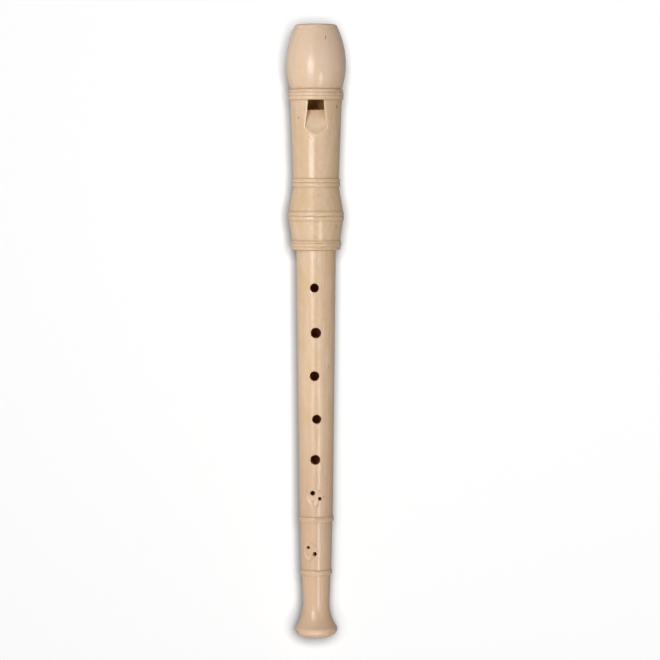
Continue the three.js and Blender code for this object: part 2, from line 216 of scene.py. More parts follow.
class RecorderHead(bpy.types.PropertyGroup):
    """Sizes of the head joint, from its socket end to the beak."""

    end_radius: size("Socket end radius", "Flat end at the body's shoulder", 11.0)
    end_beads: size("End beads", "Length of the three beads at the socket end", 5.1)
    end_bead_radius: size("End bead radius", "Crest of the largest", 13.45)
    neck_under_cone: size("Socket neck radius", "Between these beads and the cone", 12.9)
    cone: size("Socket cone", "Length up to the large beads", 10.5)
    cone_radius: size("Socket cone radius", "Its wide end", 14.3)
    cone_hollow: FloatProperty(name="Cone hollow", description="Over 1 hollows the cone", default=1.25)
    large_beads: size("Large beads", "Length of the two beads", 4.9)
    large_bead_radius: size("Large bead radius", "Their crests", 14.81)
    waist_cone_radius: size("Waist cone radius", "Wide end, over the large beads", 14.35)
    waist_cone: size("Waist cone", "Length up to the small beads", 12.9)
    waist_radius: size("Waist radius", "Narrowest place of the head", 12.1)
    small_beads: size("Small beads", "Length of the two beads", 4.5)
    small_bead_radius: size("Small bead radius", "Their crests", 12.75)
    shaft: size("Shaft", "Length up to the neck beads", 41.1)
    shaft_top_radius: size("Shaft top radius", "Its wide end", 13.6)
    neck_beads: size("Neck beads", "Length of the three beads under the barrel", 5.7)
    neck_bead_radius: size("Neck bead radius", "Crest of the largest", 14.6)
    neck_radius: size("Neck radius", "Where the barrel starts", 13.4)
    barrel_radius: size("Barrel radius", "Widest place", half_width("head_joint") / MM - BARREL_MARGIN)
    barrel_curve: size("Barrel curve", "Radius of its bulge, seen from the side", 46)
    barrel_foot_curve: size("Barrel foot curve", "The same between the neck and the crest", 36)
    tip_radius: size("Tip radius", "Flat face at the tip", 9.2)
    tip_round: size("Tip rounding", "Length of the rounding at the tip", 1.6)
    groove: size("Bead groove", "Depth of the lines between beads", 0.36)
    socket_radius: size("Socket radius", "Inside of the socket", 9.2)
    socket_depth: size("Socket depth", "From the end to the step", 24)
    bore_radius: size("Bore radius", "From the socket to the block", 6.5)
    windway_width: size("Windway width", "At the window", 8.2)
    windway_roof: size("Windway depth", "Depth in the roof of the bore", 0.95)
    windway_flare: size("Windway flare", "Added on each side at the tip", 0.6)
    window: size("Window", "Length from the windway's end to the labium", 5.25)
    window_spread: angle("Window spread", "How far its sides lean out", 4.5)
    labium: size("Labium", "Wood left at its edge", 0.45)
    camber: size("Labium camber", "How much the ramp falls off to its sides there", 0.35)
    ramp: size("Ramp", "Length from the labium to the ramp's end", 13.9)
    ramp_end_slope: FloatProperty(name="Ramp end slope", description="Rise for each length", default=0.22)
    ramp_spread: angle("Ramp spread", "How far its side walls lean out", 7)
    rim: size("Rim rounding", "Width along the window's and the ramp's upper edges", 1.1)
    rim_depth: size("Rim rounding depth", "Depth of the same", 0.45)
    beak: size("Beak", "Length of the hollow cut across the back", 31)
    beak_tip: size("Beak tip", "Thickness at the tip, down to the cut", 10.8)
    beak_curve: size("Beak curve", "Radius of the hollow cut", 50)
    beak_edge: size("Beak edge", "Rounding along the edges of the cut", 1.4)
    lip_round: size("Lip rounding", "Under the tip, where the lower lip rests", 0.9)


class RecorderBody(bpy.types.PropertyGroup):
    """Sizes of the body joint, from its shoulder to the foot, and of its tenon with the cork."""

    shoulder_radius: size("Shoulder radius", "Just under the head", 10.45)
    shaft: size("Shaft", "Length up to the upper ring", 140.95)
    shaft_radius: size("Shaft foot radius", "Its narrow end", 8.9)
    upper_ring_radius: size("Upper ring radius", "Its crest", 9.4)
    upper_ring: size("Upper ring", "Its length", 3.0)
    lower_shaft_top: size("Lower shaft top radius", "Just under the upper ring", 8.6)
    lower_shaft: size("Lower shaft", "Length between the rings", 25.45)
    lower_shaft_foot: size("Lower shaft foot radius", "Just over the lower ring", 8.05)
    lower_ring_radius: size("Lower ring radius", "Its crest", 8.55)
    lower_ring: size("Lower ring", "Its length", 2.9)
    bell_neck_top: size("Bell neck top radius", "Just under the lower ring", 7.65)
    bell_neck: size("Bell neck", "Length down to the flare", 15.2)
    bell_neck_radius: size("Bell neck radius", "Narrowest place of the body", 7.1)
    flare: size("Bell flare", "Length down to the turn at the rim", 12.8)
    flare_power: FloatProperty(name="Flare power", description="Over 1 keeps the neck slender", default=2.2)
    bell_radius: size("Bell radius", "Rim of the bell", half_width("body_joint") / MM - BELL_MARGIN)
    bell_turn: size("Bell rim turn", "Length over which the flare turns into the lip", 0.8)
    bell_face: size("Bell face radius", "Flat face at the foot", 5.9)
    bevel_from: angle("Bevel start", "Turn of the lip where it starts", 10)
    bevel_to: angle("Bevel end", "Turn of the lip where it ends", 24)
    bore_top: size("Bore top radius", "At the tenon's end", 5.9)
    bore_foot: size("Bore foot radius", "At the foot", 4.3)
    tenon_radius: size("Tenon radius", "Its outside", 8.9)
    cork_groove: size("Cork groove", "Its depth in the tenon", 1.3)
    cork_swell: size("Cork swell", "How much the cork stands over the tenon", 0.12)
    cork_round: size("Cork rounding", "Along its edges", 0.7)
    hole_edge: size("Hole rounding", "Edges of the finger holes", 0.32)
    small_hole_edge: size("Small hole rounding", "Edges of the paired holes", 0.16)
    dish_depth: size("Dish depth", "Hollow round a pair of holes", 0.75)
    dish_radius: size("Dish radius", "Its round part", 4.15)
    dish_tail: size("Dish tail", "From its middle to its point", 5.8)


class RecorderFinish(bpy.types.PropertyGroup):
    """Colours and surface of the woods and the cork."""

    maple: colour("Maple", "Lacquered maple", 222, 191, 157)
    maple_rosy: colour("Rosy maple", "Pinkish, as on the barrel", 227, 198, 171)
    maple_honey: colour("Honey maple", "Yellowish patches", 220, 190, 151)
    # Darker towards the foot: partly the wood's tone, partly painted shade where the light falls off
    maple_dark_and_shade: colour("Dark maple", "Near the foot", 204, 172, 143)
    maple_line: colour("Grain line", "Growth rings, fibres and pores", 150, 108, 74)
    fleck: colour("Fleck", "Dark flecks and pin knots", 104, 66, 38)
    # The pale tint of the painted highlights along the window's, the ramp's and the dishes' edges
    maple_painted_highlight: colour("Worn edge", "Sanded edges", 252, 228, 198)
    maple_end: colour("End grain", "Cut across the fibres", 203, 168, 130)
    head_bore: colour("Oiled head bore", "Inside the head", 200, 146, 74)
    body_bore: colour("Oiled body bore", "Inside the body and its holes", 205, 134, 64)
    # The tone of the painted shade in the turned lines
    groove_painted_shade: colour("Groove", "Stain gathered in the turned lines", 176, 138, 102)
    cedar: colour("Cedar", "The block", 178, 122, 82)
    cedar_line: colour("Cedar line", "Dark growth rings of the block", 128, 74, 44)
    cork: colour("Cork", "The tenon's cork", 200, 160, 116)
    cork_fleck: colour("Cork fleck", "Dark grains in the cork", 110, 70, 40)
    gloss: share("Lacquer roughness", "Less is glossier", 0.25)
    grain: share("Grain strength", "How strongly the figure shows", 0.9)


class RecorderStudio(bpy.types.PropertyGroup):
    """Place and view of the camera."""

    distance: size("Camera distance", "From the instrument's axis", 1530)
    view_width: size("View width", "Width of the picture at the instrument", 349)
    aside: size("Camera aside", "To the right of the instrument", 7.4)
    beyond: size("Camera beyond", "From the middle towards the beak", 60.36)
    tilt: angle("Camera tilt", "Lean back towards the foot", 2.2083)


class Outline:
    """A turned surface: radii at places along the axis, written from one end of a piece to the other."""

    def __init__(self, radius, place):
        self.radii = [radius]
        self.places = [place]
        self.creases = []

    def stretch(self, length, radius_at, steps=None):
        """A stretch whose radius is a function of the share of its length."""
        start = self.places[-1]
        steps = steps or math.ceil(length / RING_STEP)
        for step in range(1, steps + 1):
            self.radii.append(radius_at(step / steps))
            self.places.append(start + length * step / steps)

    def cone(self, length, radius):
        self.flare(length, radius, 1)

    def flare(self, length, radius, power):
        first = self.radii[-1]
        self.stretch(length, lambda part: first + (radius - first) * part**power)

    def bulge(self, crest, curve, start, stop, steps=None):
        """Part of a bulge's arc, between two distances from its crest."""

        def radius_at(part):
            return crest - curve + math.sqrt(curve**2 - (start + (stop - start) * part) ** 2)

        self.stretch(stop - start, radius_at, steps)

    def rounded_end(self, length, radius, bevel=(0, 0)):
        """A quarter of an ellipse that turns from along the axis towards it, straight between two turns."""
        turns = np.linspace(0, math.pi / 2, END_STEPS + 1)[1:]
        on_bevel = (turns > bevel[0]) & (turns < bevel[1])

        def bevelled(curve):
            return np.where(on_bevel, np.interp(turns, bevel, curve(bevel)), curve(turns))

        self.radii += (radius + (self.radii[-1] - radius) * bevelled(np.cos)).tolist()
        self.places += (self.places[-1] + length * bevelled(np.sin)).tolist()

    def beads(self, row, length, highest, end, groove=0):
        """A row of beads over a length, from the radius reached so far to the one at the end."""
        crests = [highest - drop * MM for drop in row.drops]
        valleys = [min(pair) - groove * row.depth for pair in zip(crests, crests[1:])]
        feet = [self.radii[-1], *valleys, end]
        for crest, part_of_row, low, high, line in zip(crests, row.shares, feet, feet[1:], row.lines):
            start = self.places[-1]
            self.creases.append((start, line))
            for step in range(1, BEAD_STEPS + 1):
                turn = math.pi * step / BEAD_STEPS
                part = (1 - math.cos(turn)) / 2
                foot = low + (high - low) * part
                self.radii.append(foot + (crest - foot) * math.sin(turn))
                self.places.append(start + length * part_of_row * part)
        self.creases.append((self.places[-1], row.lines[-1]))

    def radius(self, place):
        return np.interp(place, self.places, self.radii)


def head_outline(head):
    outline = Outline(head.end_radius, 0)
    outline.beads(END_BEADS, head.end_beads, head.end_bead_radius, head.neck_under_cone, head.groove)
    outline.flare(head.cone, head.cone_radius, head.cone_hollow)
    outline.beads(LARGE_BEADS, head.large_beads, head.large_bead_radius, head.waist_cone_radius, head.groove)
    outline.cone(head.waist_cone, head.waist_radius)
    outline.beads(SMALL_BEADS, head.small_beads, head.small_bead_radius, head.waist_radius, head.groove)
    outline.cone(head.shaft, head.shaft_top_radius)
    outline.beads(NECK_BEADS, head.neck_beads, head.neck_bead_radius, head.neck_radius, head.groove)
    drop = head.barrel_radius - head.neck_radius
    rise = math.sqrt(drop * (2 * head.barrel_foot_curve - drop))
    outline.bulge(head.barrel_radius, head.barrel_foot_curve, -rise, 0)
    above = HEAD_LENGTH - outline.places[-1] - head.tip_round
    outline.bulge(head.barrel_radius, head.barrel_curve, 0, above)
    outline.rounded_end(head.tip_round, head.tip_radius)
    return outline


def body_outline(body):
    """Outside of the body below its shoulder, with places measured down."""
    outline = Outline(body.shoulder_radius - SHOULDER_ROUND, 0)
    outline.bulge(body.shoulder_radius, SHOULDER_ROUND, -SHOULDER_ROUND, 0, FILLET_STEPS)
    outline.cone(body.shaft - SHOULDER_ROUND, body.shaft_radius)
    outline.beads(RING, body.upper_ring, body.upper_ring_radius, body.lower_shaft_top)
    outline.cone(body.lower_shaft, body.lower_shaft_foot)
    outline.beads(RING, body.lower_ring, body.lower_ring_radius, body.bell_neck_top)
    outline.cone(body.bell_neck, body.bell_neck_radius)
    steepness = math.atan(body.flare_power * (body.bell_radius - body.bell_neck_radius) / body.flare)
    turn = body.bell_turn / math.sin(steepness)
    flare_end = body.bell_radius - turn * (1 - math.cos(steepness))
    outline.flare(body.flare, flare_end, body.flare_power)
    outline.bulge(body.bell_radius, turn, -body.bell_turn, 0, FILLET_STEPS)
    lip = SHOULDER - FOOT - outline.places[-1]
    outline.rounded_end(lip, body.bell_face, (body.bevel_from, body.bevel_to))
    return outline


# Meshes


def around(sides):
    """Turns of equal steps, from the top towards the right."""
    return np.arange(sides) * 2 * np.pi / sides


def circle(radius, place, sides):
    turns = around(sides)
    return np.column_stack([radius * np.sin(turns), np.full(sides, place), radius * np.cos(turns)])


def loft(rings, closed=False):
    """A solid through rings of as many points each, capped at both ends or joined up with itself."""
    rings = np.asarray(rings)
    count, sides = rings.shape[:2]
    index = np.arange(count * sides).reshape(count, sides)
    low = index if closed else index[:-1]
    high = np.roll(index, -1, axis=0) if closed else index[1:]
    quads = np.stack([low, np.roll(low, -1, axis=1), np.roll(high, -1, axis=1), high], axis=-1)
    faces = quads.reshape(-1, 4).tolist()
    if not closed:
        faces += [index[0, ::-1].tolist(), index[-1].tolist()]
    mesh = bpy.data.meshes.new("solid")
    mesh.from_pydata(rings.reshape(-1, 3).tolist(), [], faces)
    if volume(mesh) < 0:
        mesh.flip_normals()
    return mesh


def triples(items, name, kind=float):
    """Three numbers of each vertex or triangle, as rows."""
    values = np.empty(len(items) * 3, dtype=kind)
    items.foreach_get(name, values)
    return values.reshape(-1, 3)


def volume(mesh):
    """Signed volume of a closed mesh: less than nothing if its faces point inwards."""
    corners = triples(mesh.vertices, "co")
    mesh.calc_loop_triangles()
    a, b, c = (corners[column] for column in triples(mesh.loop_triangles, "vertices", int).T)
    return np.einsum("ij,ij->", a, np.cross(b, c)) / 6


def turned(points, sides, step, closed=False):
    """A solid turned from a line of (radius, place), with its long stretches divided."""
    ends = points[1:] + points[:1] if closed else points[1:]
    divided = []
    for start, end in zip(points, ends):
        parts = max(1, math.ceil(abs(end[1] - start[1]) / step))
        divided += [[a + (b - a) * part / parts for a, b in zip(start, end)] for part in range(parts)]
    if not closed:
        divided.append(points[-1])
    return loft([circle(radius, place, sides) for radius, place in divided], closed)


def carve(solid, tools, operation="DIFFERENCE"):
    """The solid with each tool taken away in turn, or what it shares with them."""
    collection = bpy.context.scene.collection
    work = bpy.data.objects.new("work", solid)
    collection.objects.link(work)
    cutters = [bpy.data.objects.new("tool", tool) for tool in tools]
    for cutter in cutters:
        collection.objects.link(cutter)
        cut = work.modifiers.new("cut", "BOOLEAN")
        cut.operation = operation
        cut.solver = "MANIFOLD"
        cut.object = cutter
    graph = bpy.context.evaluated_depsgraph_get()
    result = bpy.data.meshes.new_from_object(work.evaluated_get(graph))
    for used in [work, *cutters]:
        used_mesh = used.data
        bpy.data.objects.remove(used)
        bpy.data.meshes.remove(used_mesh)
    if not result.polygons:
        raise RuntimeError("a cut left nothing of its piece")
    return result


def turn_about_axis(points, degrees):
    """Points turned round the instrument's axis, from the top towards the right."""
    turn = math.radians(degrees)
    x, y, z = np.moveaxis(points, -1, 0)
    turned_x = x * math.cos(turn) + z * math.sin(turn)
    return np.stack([turned_x, y, z * math.cos(turn) - x * math.sin(turn)], axis=-1)


def soft_min(first, second, blend):
    """The lesser of two values, with the corner between them rounded."""
    near = np.clip(1 - np.abs(first - second) / np.maximum(blend, 1e-9), 0, 1)
    return np.minimum(first, second) - near**2 * blend / 4


def beak_cut(head, outline):
    """Height of the hollow cut across the back, as a function of the place."""
    start = Vector((HEAD_LENGTH - head.beak, -outline.radius(HEAD_LENGTH - head.beak)))
    tip = Vector((HEAD_LENGTH, head.tip_radius - head.beak_tip))
    chord = tip - start
    outwards = Vector((chord.y, -chord.x)).normalized()
    centre = (start + tip) / 2 + outwards * math.sqrt(head.beak_curve**2 - chord.length_squared / 4)

    def height(place):
        hollow = centre.y + math.sqrt(head.beak_curve**2 - (place - centre.x) ** 2)
        into_lip = np.clip(1 - (HEAD_LENGTH - place) / head.lip_round, 0, 1)
        return hollow + head.lip_round * (1 - math.sqrt(1 - into_lip**2))

    return height


def head_section(head, radius, place, cut):
    """A ring round the head: a circle, or a circle cut off below at the beak's hollow."""
    if place <= HEAD_LENGTH - head.beak:
        return circle(radius, place, HEAD_SIDES)
    depth = radius + cut(place)
    middle = (cut(place) + radius) / 2
    turns = around(HEAD_SIDES)
    to_circle = np.sqrt(radius**2 - (middle * np.sin(turns)) ** 2) - middle * np.cos(turns)
    to_cut = (middle - cut(place)) / np.maximum(-np.cos(turns), 1e-6)
    reach = soft_min(to_circle, to_cut, blend=min(head.beak_edge, depth))
    x, z = reach * np.sin(turns), middle + reach * np.cos(turns)
    return np.column_stack([x, np.full(HEAD_SIDES, place), z])


def head_solid(head, outline):
    cut = beak_cut(head, outline)
    return loft([head_section(head, *ring, cut) for ring in zip(outline.radii, outline.places)])


def socket_and_bore(head):
    lead = (head.socket_radius - head.bore_radius) / 2
    points = [
        (head.socket_radius + SOCKET_LEAD + OVERCUT, -OVERCUT),
        (head.socket_radius + SOCKET_LEAD, 0),
        (head.socket_radius, SOCKET_LEAD),
        (head.socket_radius, head.socket_depth),
        (head.bore_radius + lead, head.socket_depth),
        (head.bore_radius, head.socket_depth + lead),
        (head.bore_radius, HEAD_LENGTH + OVERCUT),
    ]
    return turned(points, HEAD_SIDES, BORE_STEP)


def windway(head):
    """An arched channel over the block, a little wider at the tip."""
    rings = []
    for place in np.linspace(WINDOW_TOP - head.window / 2, HEAD_LENGTH + OVERCUT, WINDWAY_STEPS):
        widening = max(0, (place - WINDOW_TOP) / (HEAD_LENGTH - WINDOW_TOP)) ** 3
        half = head.windway_width / 2 + head.windway_flare * widening
        roof = head.bore_radius + head.windway_roof + head.windway_flare / 2 * widening
        turns = np.linspace(1, -1, WINDWAY_STEPS + 1) * math.asin(half / roof)
        arch = np.column_stack([roof * np.sin(turns), roof * np.cos(turns)])
        section = np.vstack([[-half, head.bore_radius / 2], [half, head.bore_radius / 2], arch])
        rings.append(np.insert(section, 1, place, axis=1))
    return loft(rings)


def window_and_ramp(head, outline):
    """A floor between two walls whose upper edges are rounded, from the windway's end to the ramp's end."""
    labium = WINDOW_TOP - head.window
    ramp_end = labium - head.ramp
    end_height = outline.radius(ramp_end)
    half_at_labium = head.windway_width / 2 + head.window * math.tan(head.window_spread)
    across = np.linspace(-1, 1, RAMP_POINTS)
    fillet = np.linspace(0, math.pi / 2, FILLET_STEPS)

    def half_at(place):
        if place >= labium:
            return half_at_labium - (place - labium) * math.tan(head.window_spread)
        return half_at_labium + (labium - place) * math.tan(head.ramp_spread)

    def surface(x, place):
        return np.sqrt(np.maximum(outline.radius(place) ** 2 - x**2, 0))

    def ramp_floor(x, place):
        part = (labium - place) / head.ramp
        middle = end_height - head.ramp_end_slope * head.ramp / 2
        edge = head.bore_radius + head.labium
        rise = (1 - part) ** 2 * edge + 2 * part * (1 - part) * middle + part**2 * end_height
        if part > 1:
            rise = end_height + head.ramp_end_slope * (ramp_end - place)
        floor = rise - head.camber * (x / half_at(place)) ** 2 * max(0, 1 - part)
        outside = surface(x, place)
        return soft_min(outside + LIFT, floor, blend=0.3 * MM) + np.maximum(floor - outside, 0)

    def section(place, floor, lip=0):
        x = across * half_at(place)
        z = floor(x, place)
        reach = half_at(place) + head.rim * (1 - np.cos(fillet))
        edge = surface(reach, place) - head.rim_depth * (1 - np.sin(fillet)) + LIFT
        right = np.insert(np.column_stack([reach, np.maximum(edge, z[-1])]), 1, place, axis=1)
        right = np.vstack([right, [reach[-1], place, head.barrel_radius + OVERCUT]])
        middle = np.column_stack([x, np.full(len(x), place) + lip, z])
        return np.vstack([right[::-1] * [-1, 1, 1], middle, right])

    # The labium's edge is a little uneven
    wavy = 0.07 * MM * np.sin(across * 9.5 + 0.6) + 0.04 * MM * np.sin(across * 23)

    def deep(x, place):
        return np.full(len(x), head.bore_radius / 2)

    rings = [section(place, deep) for place in np.linspace(WINDOW_TOP, labium, WINDOW_STEPS)[:-1]]
    rings += [section(labium, deep, wavy), section(labium, ramp_floor, wavy)]
    for place in np.arange(labium - RAMP_STEP, ramp_end - RAMP_OVERCUT, -RAMP_STEP):
        rings.append(section(place, ramp_floor))
    return loft(rings)


def dish_border(body, off_tail):
    """How far a dish's border is from its middle, at a turn off its tail, which points down the body."""
    lean = math.acos(body.dish_radius / body.dish_tail)
    return np.where(off_tail < lean, body.dish_radius / np.cos(lean - off_tail), body.dish_radius)


def dish_share(body, x, y):
    """How far out a point lies in a dish: 0 in its middle, 1 on its border."""
    return np.hypot(x, y) / dish_border(body, np.abs(np.arctan2(x, -y)))


def body_surface(body, outline, down, dished=False):
    """Height of the body's outside over a place down it, with or without the dish there."""

    def height(x, y):
        radius = outline.radius(down - y)
        bare = np.sqrt(np.maximum(radius**2 - x**2, 0))
        if not dished:
            return bare
        hollow = bare - body.dish_depth * (1 - dish_share(body, x, y) ** 2)
        return soft_min(bare, hollow, blend=0.15 * MM)

    return height


def dish_cutter(body, outline, dish):
    down = dish.down * MM
    bare = body_surface(body, outline, down)
    dished = body_surface(body, outline, down, dished=True)
    turns = around(DISH_SIDES)
    border = dish_border(body, np.abs((turns + np.pi) % (2 * np.pi) - np.pi))
    rings = []
    for part in [0.02, *np.linspace(0.08, 1.12, DISH_RINGS)]:
        x, y = part * border * np.sin(turns), -part * border * np.cos(turns)
        z = dished(x, y) + LIFT / 4
        if part > 1:
            z = bare(x, y) + LIFT + body.dish_depth * (part**2 - 1)
        rings.append(np.column_stack([x, y - down + SHOULDER, z]))
    top = rings[-1].copy()
    top[:, 2] = body.bell_radius + OVERCUT
    return loft(turn_about_axis(np.array([*rings, top]), dish.turn))


def hole_cutter(body, outline, hole, edge, dished=False):
    """A drill whose mouth is rounded and follows the surface round it."""
    surface = body_surface(body, outline, hole.down * MM, dished)
    turns = around(HOLE_SIDES)
    rings = []
    for turn in [0, *np.linspace(0, math.pi / 2, FILLET_STEPS), math.pi / 2]:
        reach = hole.width * MM / 2 + edge * (1 - math.cos(turn))
        x, y = hole.across * MM + reach * np.sin(turns), hole.along * MM + reach * np.cos(turns)
        z = surface(x, y) - edge * (1 - math.sin(turn)) + LIFT
        rings.append(np.column_stack([x, y - hole.down * MM + SHOULDER, z]))
    rings[0][:, 2] = 0
    rings[-1][:, 2] = body.bell_radius + OVERCUT
    return loft(turn_about_axis(np.array(rings), hole.turn))


def body_solid(body, outline):
    outside = [(radius, SHOULDER - place) for radius, place in zip(outline.radii, outline.places)][::-1]
    groove = body.tenon_radius - body.cork_groove
    inside = [
        (body.tenon_radius, SHOULDER),
        (body.tenon_radius, GROOVE_FROM),
        (groove, GROOVE_FROM),
        (groove, GROOVE_TO),
        (body.tenon_radius, GROOVE_TO),
        (body.tenon_radius, TENON_END - CHAMFER),
        (body.tenon_radius - CHAMFER, TENON_END),
        (body.bore_top + CHAMFER, TENON_END),
        (body.bore_top, TENON_END - CHAMFER),
        (body.bore_foot, FOOT + CHAMFER),
        (body.bore_foot + CHAMFER, FOOT),
    ]
    return turned(outside + inside, BODY_SIDES, BORE_STEP, closed=True)


def block_solid(head):
    radius = head.bore_radius - BLOCK_GAP
    points = [(radius - CHAMFER, WINDOW_TOP), (radius, WINDOW_TOP + CHAMFER), (radius, HEAD_LENGTH + OVERCUT)]
    return turned(points, HEAD_SIDES // 2, RING_STEP)


def cork_solid(body):
    inner = body.tenon_radius - body.cork_groove + CORK_SEAT
    outer = body.tenon_radius + body.cork_swell
    start, end = GROOVE_FROM + CORK_SEAT, GROOVE_TO - CORK_SEAT
    rounding = body.cork_round
    quarter = np.linspace(0, math.pi / 2, END_STEPS)
    lower = [(outer - rounding * (1 - math.sin(t)), start + rounding * (1 - math.cos(t))) for t in quarter]
    upper = [(radius, start + end - place) for radius, place in reversed(lower)]
    return turned([(inner, start), *lower, *upper, (inner, end)], BODY_SIDES, RING_STEP, closed=True)


def smooth(low, high, values):
    part = np.clip((values - low) / (high - low), 0, 1)
    return part * part * (3 - 2 * part)


def tag(mesh, **marks):
    """Numbers from 0 to 1 for each corner of the mesh, which the finishes read."""
    along = np.abs(triples(mesh.vertices, "normal")[:, 1])
    marks["end"] = smooth(0.6, 0.95, along)  # how much the surface faces along the axis
    for name, values in marks.items():
        attribute = mesh.attributes.new(name, "FLOAT", "POINT")
        attribute.data.foreach_set("value", np.ascontiguousarray(values, dtype=np.float32))


def crease_amount(places, creases):
    """How close a place is to a turned line, times the line's strength."""
    amount = np.zeros(len(places))
    for crease, strength in creases:
        near = 1 - smooth(0.05 * MM, 0.35 * MM, np.abs(places - crease))
        amount = np.maximum(amount, near * strength)
    return amount


def ramp_painted_highlight(head, outline, x, y, z):
    """How much painted light the wood gets: most along the edges of the window and the ramp, as a painted
    highlight, a little on the ramp.
    """
    labium = WINDOW_TOP - head.window
    depth = outline.radius(y) - np.hypot(x, z)
    # A painted highlight along the rounded edges
    edge = smooth(0.01 * MM, 0.05 * MM, depth) * (1 - smooth(0.15 * MM, 0.4 * MM, depth))
    edge = edge * (1 - 0.7 * smooth(-2 * MM, 2 * MM, x))  # less of it on the right
    # Painted light over the ramp's shaded floor
    on_ramp = smooth(0.3 * MM, 2 * MM, depth) * (y < labium + 0.1 * MM)
    painted_light = np.maximum(edge, 0.5 * on_ramp)
    return painted_light * (z > 0) * (y < WINDOW_TOP) * (y > labium - head.ramp - RAMP_OVERCUT)


def tag_head(mesh, head, outline):
    """Marks the head's turned lines, its inside, and the painted highlight along the window's and the ramp's
    edges.
    """
    x, y, z = triples(mesh.vertices, "co").T
    from_axis = np.hypot(x, z)
    bore = 1 - smooth(head.bore_radius + 0.1 * MM, head.bore_radius + 1.0 * MM, from_axis)
    socket = 1 - smooth(head.socket_radius + 0.1 * MM, head.socket_radius + 0.8 * MM, from_axis)
    inside = np.maximum(bore, socket * (y < head.socket_depth) * 0.6)
    # Painted shade in the turned lines
    groove = crease_amount(y, outline.creases) * smooth(head.bore_radius, head.end_radius, from_axis)
    tag(mesh, groove=groove, inside=inside, worn=ramp_painted_highlight(head, outline, x, y, z))


def tag_body(mesh, body, outline):
    """Marks the body's turned lines, its inside, and the dishes, with painted shade and a painted highlight
    on their borders.
    """
    corners = triples(mesh.vertices, "co")
    x, y, z = corners.T
    down = SHOULDER - y
    surface = outline.radius(down)
    scraped = worn = rim = np.zeros(len(x))
    for dish in DISHES:
        across, _, up = turn_about_axis(corners, -dish.turn).T
        below = down - dish.down * MM
        above = up > 0
        part = dish_share(body, across, -below)
        # The gouge left the dish matt; its border gets painted shade on the right and a painted highlight on
        # the left, lower down
        scraped = np.maximum(scraped, above * (1 - smooth(0.85, 1.05, part)))
        border = above * (1 - smooth(0.03, 0.12, np.abs(part - 0.96)))
        right = smooth(-2 * MM, 1 * MM, across)
        # Painted shade on the right of the border
        rim = np.maximum(rim, border * right * 0.6)
        # A painted highlight on the left of the border, lower down
        worn = np.maximum(worn, border * (1 - right) * smooth(0, 3 * MM, below) * 0.5)
        surface = surface - np.where(above, np.maximum(0, 1 - part**2), 0) * body.dish_depth
    from_axis = np.hypot(x, z)
    bore = body.bore_foot + (body.bore_top - body.bore_foot) * (y - FOOT) / (TENON_END - FOOT)
    in_holes = smooth(0.35 * MM, 0.9 * MM, surface - from_axis) * (down > 0)
    inside = np.maximum(in_holes, from_axis < bore + 0.1 * MM)
    # Painted shade in the turned lines and on the dishes' borders
    groove = np.maximum(crease_amount(down, outline.creases), rim) * (1 - inside)
    tag(mesh, groove=groove, inside=inside, scraped=scraped, worn=worn)


def set_down(mesh, name, node, body, finish):
    """Puts a finished mesh where its CAD node lies, and makes it stand for that node."""
    mesh.name = name
    mesh.transform(LATHE)
    mesh.materials.clear()
    mesh.materials.append(finish)
    mesh.shade_smooth()
    mesh.set_sharp_from_angle(angle=SHARP_ANGLE)
    piece = bpy.data.objects.new(name, mesh)
    bpy.context.scene.collection.objects.link(piece)
    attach(piece, body)
    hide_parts(node)


# Finishes


def arithmetic(operation):
    """Two methods that add a Math node, for a value before the sign and for one after it."""

    def before(self, other):
        return self.finish.math(operation, self, other)

    def after(self, other):
        return self.finish.math(operation, other, self)

    return before, after


class Value:
    """A number that varies over a surface. Arithmetic on it adds Math nodes to its finish."""

    __add__, __radd__ = arithmetic("ADD")
    __sub__, __rsub__ = arithmetic("SUBTRACT")
    __mul__, __rmul__ = arithmetic("MULTIPLY")
    __truediv__, __rtruediv__ = arithmetic("DIVIDE")
    __pow__, __rpow__ = arithmetic("POWER")

    def __init__(self, finish, socket):
        self.finish = finish
        self.socket = socket


